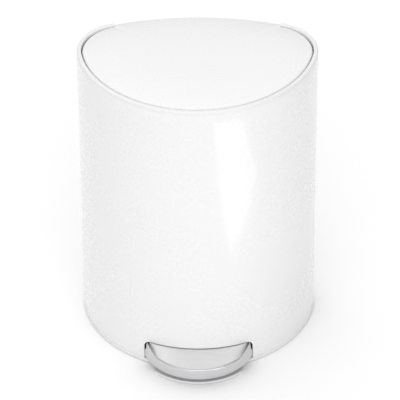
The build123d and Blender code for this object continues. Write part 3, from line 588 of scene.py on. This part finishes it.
def make_band(shell, sizes, material):
    """Band of the pedal: a tread plate whose rim stands up round the pad and rolls over into a front wall with a
    rounded hem. The wall curves back towards its top: lean * (1 - share)**2, where share runs from 0 at the top
    to 1 at the foot. It stops at the two rear corners. The rim rises evenly at its two ends, where it follows the
    opening's corners: min(rise * smooth step, height of the corner - gap)."""
    wall, top, bottom = sizes.wall, band_high.z, band_low.z
    seat, under = pad_low.z, pad_low.z - PLATE_THICKNESS
    rim, inner, hem = sizes.rim_round, sizes.seat_round, sizes.hem_round
    lean = sizes.lean
    profile = [(lean + wall, seat, share) for share in (0.0, 0.5, 0.9, 1.0)]
    profile += quarter((lean + wall - inner, top - inner), inner, 180, 90)
    face_top, face_bottom = top - rim, bottom + hem
    profile += quarter((lean + rim, face_top), rim, 90, np.degrees(np.arctan(2 * lean / (face_top - face_bottom))), 9)
    for share in np.linspace(0, 1, 16)[1:]:
        profile.append((lean * (1 - share)**2, face_top + share * (face_bottom - face_top), 1.0))
    profile += quarter((hem, face_bottom), hem, 0, -180, 12)[1:]
    profile += [(2 * hem, under, 1.0)]
    profile += [(wall, under, share) for share in (0.9, 0.5, 0.0)]
    rows = pedal_rows(sizes, profile[::-1])
    side = np.abs(rows[:, :, 0])
    ramp = np.clip((side - sizes.end_start) / sizes.end_run, 0, 1)
    beyond = np.clip(side - (shell.opening_half - shell.opening_corner), 0, shell.opening_corner)
    roof = shell.opening_top - shell.opening_corner + np.sqrt(shell.opening_corner**2 - beyond**2)
    lift = np.minimum(sizes.end_rise * ramp**2 * (3 - 2 * ramp), roof - sizes.end_gap - top)
    rows[:, :, 2] += lift * np.clip((rows[:, :, 2] - seat) / (top - seat), 0, 1)
    behind = rows[:, :, 1] > band_high.y - sizes.corner
    rows[:, :, 2] = np.where(behind, np.maximum(rows[:, :, 2], under), rows[:, :, 2])
    made = grid_object("pedal_tread_band", rows, material, "pedal", poles=True)
    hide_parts("pedal_band")
    return made


def make_pad(shell, sizes, material):
    """Pad of the pedal: an insert with a rounded edge that leaves a fine gap to the band's rim.
    Its top rises evenly from the round front edge to the shell's opening: rise * (distance behind the edge) /
    (distance from the edge to the shell), and is level behind that."""
    inset = sizes.lean + sizes.wall + sizes.pad_gap
    top, seat, soft = pad_high.z, pad_low.z, sizes.pad_round
    profile = [(inset, seat, share) for share in (0.0, 0.5, 0.9, 1.0)]
    profile += quarter((inset + soft, top - soft), soft, 0, 90, 7)
    profile += [(inset + soft, top, share) for share in np.linspace(0.99, 0, 40)]
    rows = pedal_rows(sizes, profile)
    edge = sizes.radius - inset - soft
    across = np.minimum(np.abs(rows[:, :, 0]), edge * 0.999)
    front = band_low.y + sizes.radius - np.sqrt(edge**2 - across**2)
    opening = shell_low.y + shell.front_radius - np.sqrt(shell.front_radius**2 - across**2)
    behind = np.clip((rows[:, :, 1] - front) / np.maximum(opening - front, sizes.pad_ramp), 0, 1)
    above = np.clip((rows[:, :, 2] - seat) / (top - seat), 0, 1)
    rows[:, :, 2] += sizes.pad_rise * behind * above
    made = grid_object("pedal_tread_pad", rows, material, "pedal", poles=True)
    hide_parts("pedal_pad")
    return made


# Studio


def make_camera(studio):
    """Camera on its aim at the photograph's angle, a little turned and rolled."""
    turn = Matrix.Rotation(-studio.yaw, 3, "Z")
    forward = turn @ Vector((0, np.cos(studio.elevation), -np.sin(studio.elevation)))
    up = turn @ Vector((0, np.sin(studio.elevation), np.cos(studio.elevation)))
    right = turn @ Vector((1, 0, 0))
    across = right * np.cos(studio.roll) + up * np.sin(studio.roll)
    upward = up * np.cos(studio.roll) - right * np.sin(studio.roll)
    aim = turn @ Vector((studio.aim_side, 0, 0)) + Vector((0, studio.aim_back, studio.aim_height))
    camera = bpy.data.objects.new("Camera", bpy.data.cameras.new("Camera"))
    bpy.context.scene.collection.objects.link(camera)
    camera.data.lens = studio.lens
    camera.data.sensor_width = SENSOR_WIDTH
    camera.data.clip_start, camera.data.clip_end = CAMERA_CLIP
    place = Matrix((across, upward, -forward)).transposed().to_4x4()
    place.translation = aim - forward * studio.distance
    camera.matrix_world = place
    bpy.context.scene.camera = camera


def make_lamp(name, place, aim, size, power):
    """Soft rectangular lamp, which the camera doesn't see."""
    lamp = bpy.data.objects.new(name, bpy.data.lights.new(name, "AREA"))
    lamp.data.shape = "RECTANGLE"
    lamp.data.size, lamp.data.size_y = size
    lamp.data.energy = power
    lamp.visible_camera = False
    lamp.location = place
    lamp.rotation_euler = (Vector(aim) - lamp.location).to_track_quat("-Z", "Y").to_euler()
    bpy.context.scene.collection.objects.link(lamp)
    return lamp


def glow(tree, direction, turn, height, power, strength):
    """Soft light round one direction of the room: strength * max(0, cos of the angle to it) ** power.
    turn runs from the front towards the right, and height up from the horizon."""
    axis = (np.cos(height) * np.sin(turn), -np.cos(height) * np.cos(turn), np.sin(height))
    along = place_node(tree, "ShaderNodeVectorMath", {0: direction, 1: axis}, operation="DOT_PRODUCT")
    held = place_node(tree, "ShaderNodeMath", {0: along.outputs["Value"], 1: 0.0}, operation="MAXIMUM")
    shaped = place_node(tree, "ShaderNodeMath", {0: held.outputs["Value"], 1: power}, operation="POWER")
    return place_node(tree, "ShaderNodeMath", {0: shaped.outputs["Value"], 1: strength}, operation="MULTIPLY")


def make_world(studio):
    """Soft room light from overhead, from the front and from behind; the camera sees plain white."""
    world = bpy.data.worlds.new("Studio room")
    bpy.context.scene.world = world
    world.use_nodes = True
    tree = world.node_tree
    tree.nodes.clear()
    path = tree.nodes.new("ShaderNodeLightPath")
    direction = tree.nodes.new("ShaderNodeTexCoord").outputs["Generated"]
    overhead = glow(tree, direction, 0.0, radians(90.0), 1.0, studio.overhead)
    front = glow(tree, direction, 0.0, studio.front_height, 4.0, studio.front)
    behind = glow(tree, direction, studio.behind_turn, studio.behind_height, 2.0, studio.behind)
    both = place_node(tree, "ShaderNodeMath", {0: overhead.outputs["Value"], 1: front.outputs["Value"]})
    all_round = place_node(tree, "ShaderNodeMath", {0: both.outputs["Value"], 1: behind.outputs["Value"]})
    room = place_node(tree, "ShaderNodeBackground", {"Color": (1, 1, 1, 1), "Strength": all_round.outputs["Value"]})
    shown = place_node(tree, "ShaderNodeBackground", {"Color": (1, 1, 1, 1), "Strength": 1.0})
    mix = place_node(tree, "ShaderNodeMixShader", {
        0: path.outputs["Is Camera Ray"], 1: room.outputs["Background"], 2: shown.outputs["Background"]})
    end = tree.nodes.new("ShaderNodeOutputWorld")
    tree.links.new(mix.outputs["Shader"], end.inputs["Surface"])


def make_floor(studio):
    """Wide level floor, white to the camera, which keeps the can's shadow."""
    half = studio.floor_size
    mesh = bpy.data.meshes.new("studio_floor")
    mesh.from_pydata([(-half, -half, 0), (half, -half, 0), (half, half, 0), (-half, half, 0)], [], [(0, 1, 2, 3)])
    material = bpy.data.materials.new("studio_floor")
    material.use_nodes = True
    tree = material.node_tree
    tree.nodes.clear()
    path = tree.nodes.new("ShaderNodeLightPath")
    tone, shown = studio.floor_tone, studio.floor_shown
    seen = place_node(tree, "ShaderNodeMath", {
        0: path.outputs["Is Camera Ray"], 1: path.outputs["Is Glossy Ray"]}, operation="MAXIMUM")
    mix = place_node(tree, "ShaderNodeMix", {
        0: seen.outputs["Value"], 6: (tone, tone, tone, 1), 7: (shown, shown, shown, 1)}, data_type="RGBA")
    surface = place_node(tree, "ShaderNodeBsdfDiffuse", {"Color": mix.outputs[2]})
    end = tree.nodes.new("ShaderNodeOutputMaterial")
    tree.links.new(surface.outputs["BSDF"], end.inputs["Surface"])
    mesh.materials.append(material)
    floor = bpy.data.objects.new("studio_floor", mesh)
    bpy.context.scene.collection.objects.link(floor)


class CAN_OT_studio(bpy.types.Operator):
    """Make the camera, the lamp, the room and the floor"""

    bl_idname = "can.studio"
    bl_label = "Studio"

    def execute(self, context):
        studio = context.scene.can_studio
        context.scene.view_settings.view_transform = "Standard"
        make_camera(studio)
        make_world(studio)
        make_floor(studio)
        x, y, z = LOW_LAMP_PLACE
        make_lamp("low_lamp", (x, y, z), (x, y, z + 1.0), LOW_LAMP_SIZE, studio.low_power)
        return {"FINISHED"}


class CAN_OT_shell(bpy.types.Operator):
    """Make the shell's sheet and paint it and the lid"""

    bl_idname = "can.shell"
    bl_label = "Shell and lid"

    def execute(self, context):
        scene = context.scene
        paint = coated(
            "gloss_white_paint", scene.can_colours.paint, (9.0, 0.003), (14.0, 0.24, 0.3), (260.0, 0.2, 0.01, 0.00002),
            **{"IOR": 1.5, "Coat Weight": 0.8, "Coat Roughness": 0.04, "Coat IOR": 1.5})
        make_shell(scene.can_shell, paint)
        make_lid(scene.can_shell, scene.can_lid, paint)
        dress(paint, "lid_skin", "outer_shell")
        return {"FINISHED"}


class CAN_OT_mouldings(bpy.types.Operator):
    """Finish the white collar and base, the pale liner and cover, and the grey bucket"""

    bl_idname = "can.mouldings"
    bl_label = "Mouldings"

    def execute(self, context):
        colours = context.scene.can_colours
        white = coated("white_moulding", colours.moulding, (14.0, 0.01), (30.0, 0.24, 0.34),
                       (700.0, 0.4, 0.15, 0.0001), **{"IOR": 1.48})
        dress(white, "top_collar", "base_moulding")
        pale = coated("pale_moulding", colours.liner, (10.0, 0.02), (25.0, 0.42, 0.55),
                      (900.0, 0.6, 0.3, 0.0001), **{"IOR": 1.48})
        dress(pale, "lid_liner", "channel_cover")
        grey = coated("grey_bucket", colours.bucket, (8.0, 0.06), (20.0, 0.45, 0.6),
                      (800.0, 0.7, 0.4, 0.00012), **{"IOR": 1.48})
        dress(grey, "inner_bucket")
        black = coated("black_moulding", colours.black, (40.0, 0.15), (60.0, 0.42, 0.58),
                       (1100.0, 0.6, 0.35, 0.00008), **{"IOR": 1.48})
        dress(black, "rod_guides", "damper_cylinder", "damper_saddle", "lift_yoke", "rod_foot", "damper_clamp")
        rubber = coated("rubber", colours.rubber, (60.0, 0.12), (70.0, 0.68, 0.85),
                        (1300.0, 0.8, 0.5, 0.0001), **{"IOR": 1.5})
        dress(rubber, "rim_bumpers", "feet")
        return {"FINISHED"}


class CAN_OT_steelwork(bpy.types.Operator):
    """Finish the hinge, the rods, the lever and their pins and screws"""

    bl_idname = "can.steelwork"
    bl_label = "Steelwork"

    def execute(self, context):
        colours = context.scene.can_colours
        plate = brushed("plated_steel", colours.plain, (60.0, 1500.0, 1500.0), 0.1, (0.28, 0.46), (0.12, 0.00005))
        dress(plate, "hinge_bracket", "lid_hinge_arm", "lever_bracket", "pedal_lever")
        drawn = brushed("drawn_rod", colours.plain, (1800.0, 1800.0, 40.0), 0.08, (0.2, 0.34), (0.1, 0.00004))
        dress(drawn, "lift_rod", "damper_piston")
        turned = brushed("turned_pins", colours.plain, (900.0, 900.0, 900.0), 0.12, (0.24, 0.4), (0.1, 0.00004))
        dress(turned, "lever_axle", "hinge_pin", "crank_pin", "foot_pin", "pedal_rivets", "base_screws",
              "hinge_screws", "lid_screws")
        return {"FINISHED"}


class CAN_OT_pedal(bpy.types.Operator):
    """Make the pedal's polished band and its satin pad"""

    bl_idname = "can.pedal"
    bl_label = "Pedal"

    def execute(self, context):
        scene = context.scene
        colours = scene.can_colours
        mirror = brushed("polished_band", colours.polished, (300.0, 300.0, 1600.0), 0.02, (0.05, 0.1),
                         (0.03, 0.00002))
        satin = brushed("satin_pad", colours.satin, (90.0, 2600.0, 2600.0), 0.03, (0.28, 0.38), (0.12, 0.00004),
                        **{"Metallic": 0.5})
        make_band(scene.can_shell, scene.can_pedal, mirror)
        make_pad(scene.can_shell, scene.can_pedal, satin)
        dress(mirror, "pedal_band")
        dress(satin, "pedal_pad")
        return {"FINISHED"}


class CAN_PT_panel(bpy.types.Panel):
    """Buttons and settings of the step can"""

    bl_label = "Step Can"
    bl_space_type = "VIEW_3D"
    bl_region_type = "UI"
    bl_category = "Step Can"

    def draw(self, context):
        layout = self.layout
        for operator in OPERATORS:
            layout.operator(operator.bl_idname)
        for attribute, kind in SETTINGS.items():
            box = layout.box()
            box.label(text=kind.__doc__.rstrip("."))
            for name in kind.__annotations__:
                box.prop(getattr(context.scene, attribute), name)


SETTINGS = {
    "can_colours": CanColours, "can_shell": ShellSizes, "can_lid": LidSizes, "can_pedal": PedalSizes,
    "can_studio": StudioSettings,
}
OPERATORS = (CAN_OT_studio, CAN_OT_shell, CAN_OT_mouldings, CAN_OT_steelwork, CAN_OT_pedal)


def register():
    for kind in (*SETTINGS.values(), *OPERATORS, CAN_PT_panel):
        bpy.utils.register_class(kind)
    for attribute, kind in SETTINGS.items():
        setattr(bpy.types.Scene, attribute, PointerProperty(type=kind))


def unregister():
    for attribute in SETTINGS:
        delattr(bpy.types.Scene, attribute)
    for kind in reversed((*SETTINGS.values(), *OPERATORS, CAN_PT_panel)):
        bpy.utils.unregister_class(kind)


def main():
    register()
    for step in (bpy.ops.can.studio, bpy.ops.can.shell, bpy.ops.can.mouldings, bpy.ops.can.steelwork,
                 bpy.ops.can.pedal):
        step()


if __name__ == "__main__":
    main()
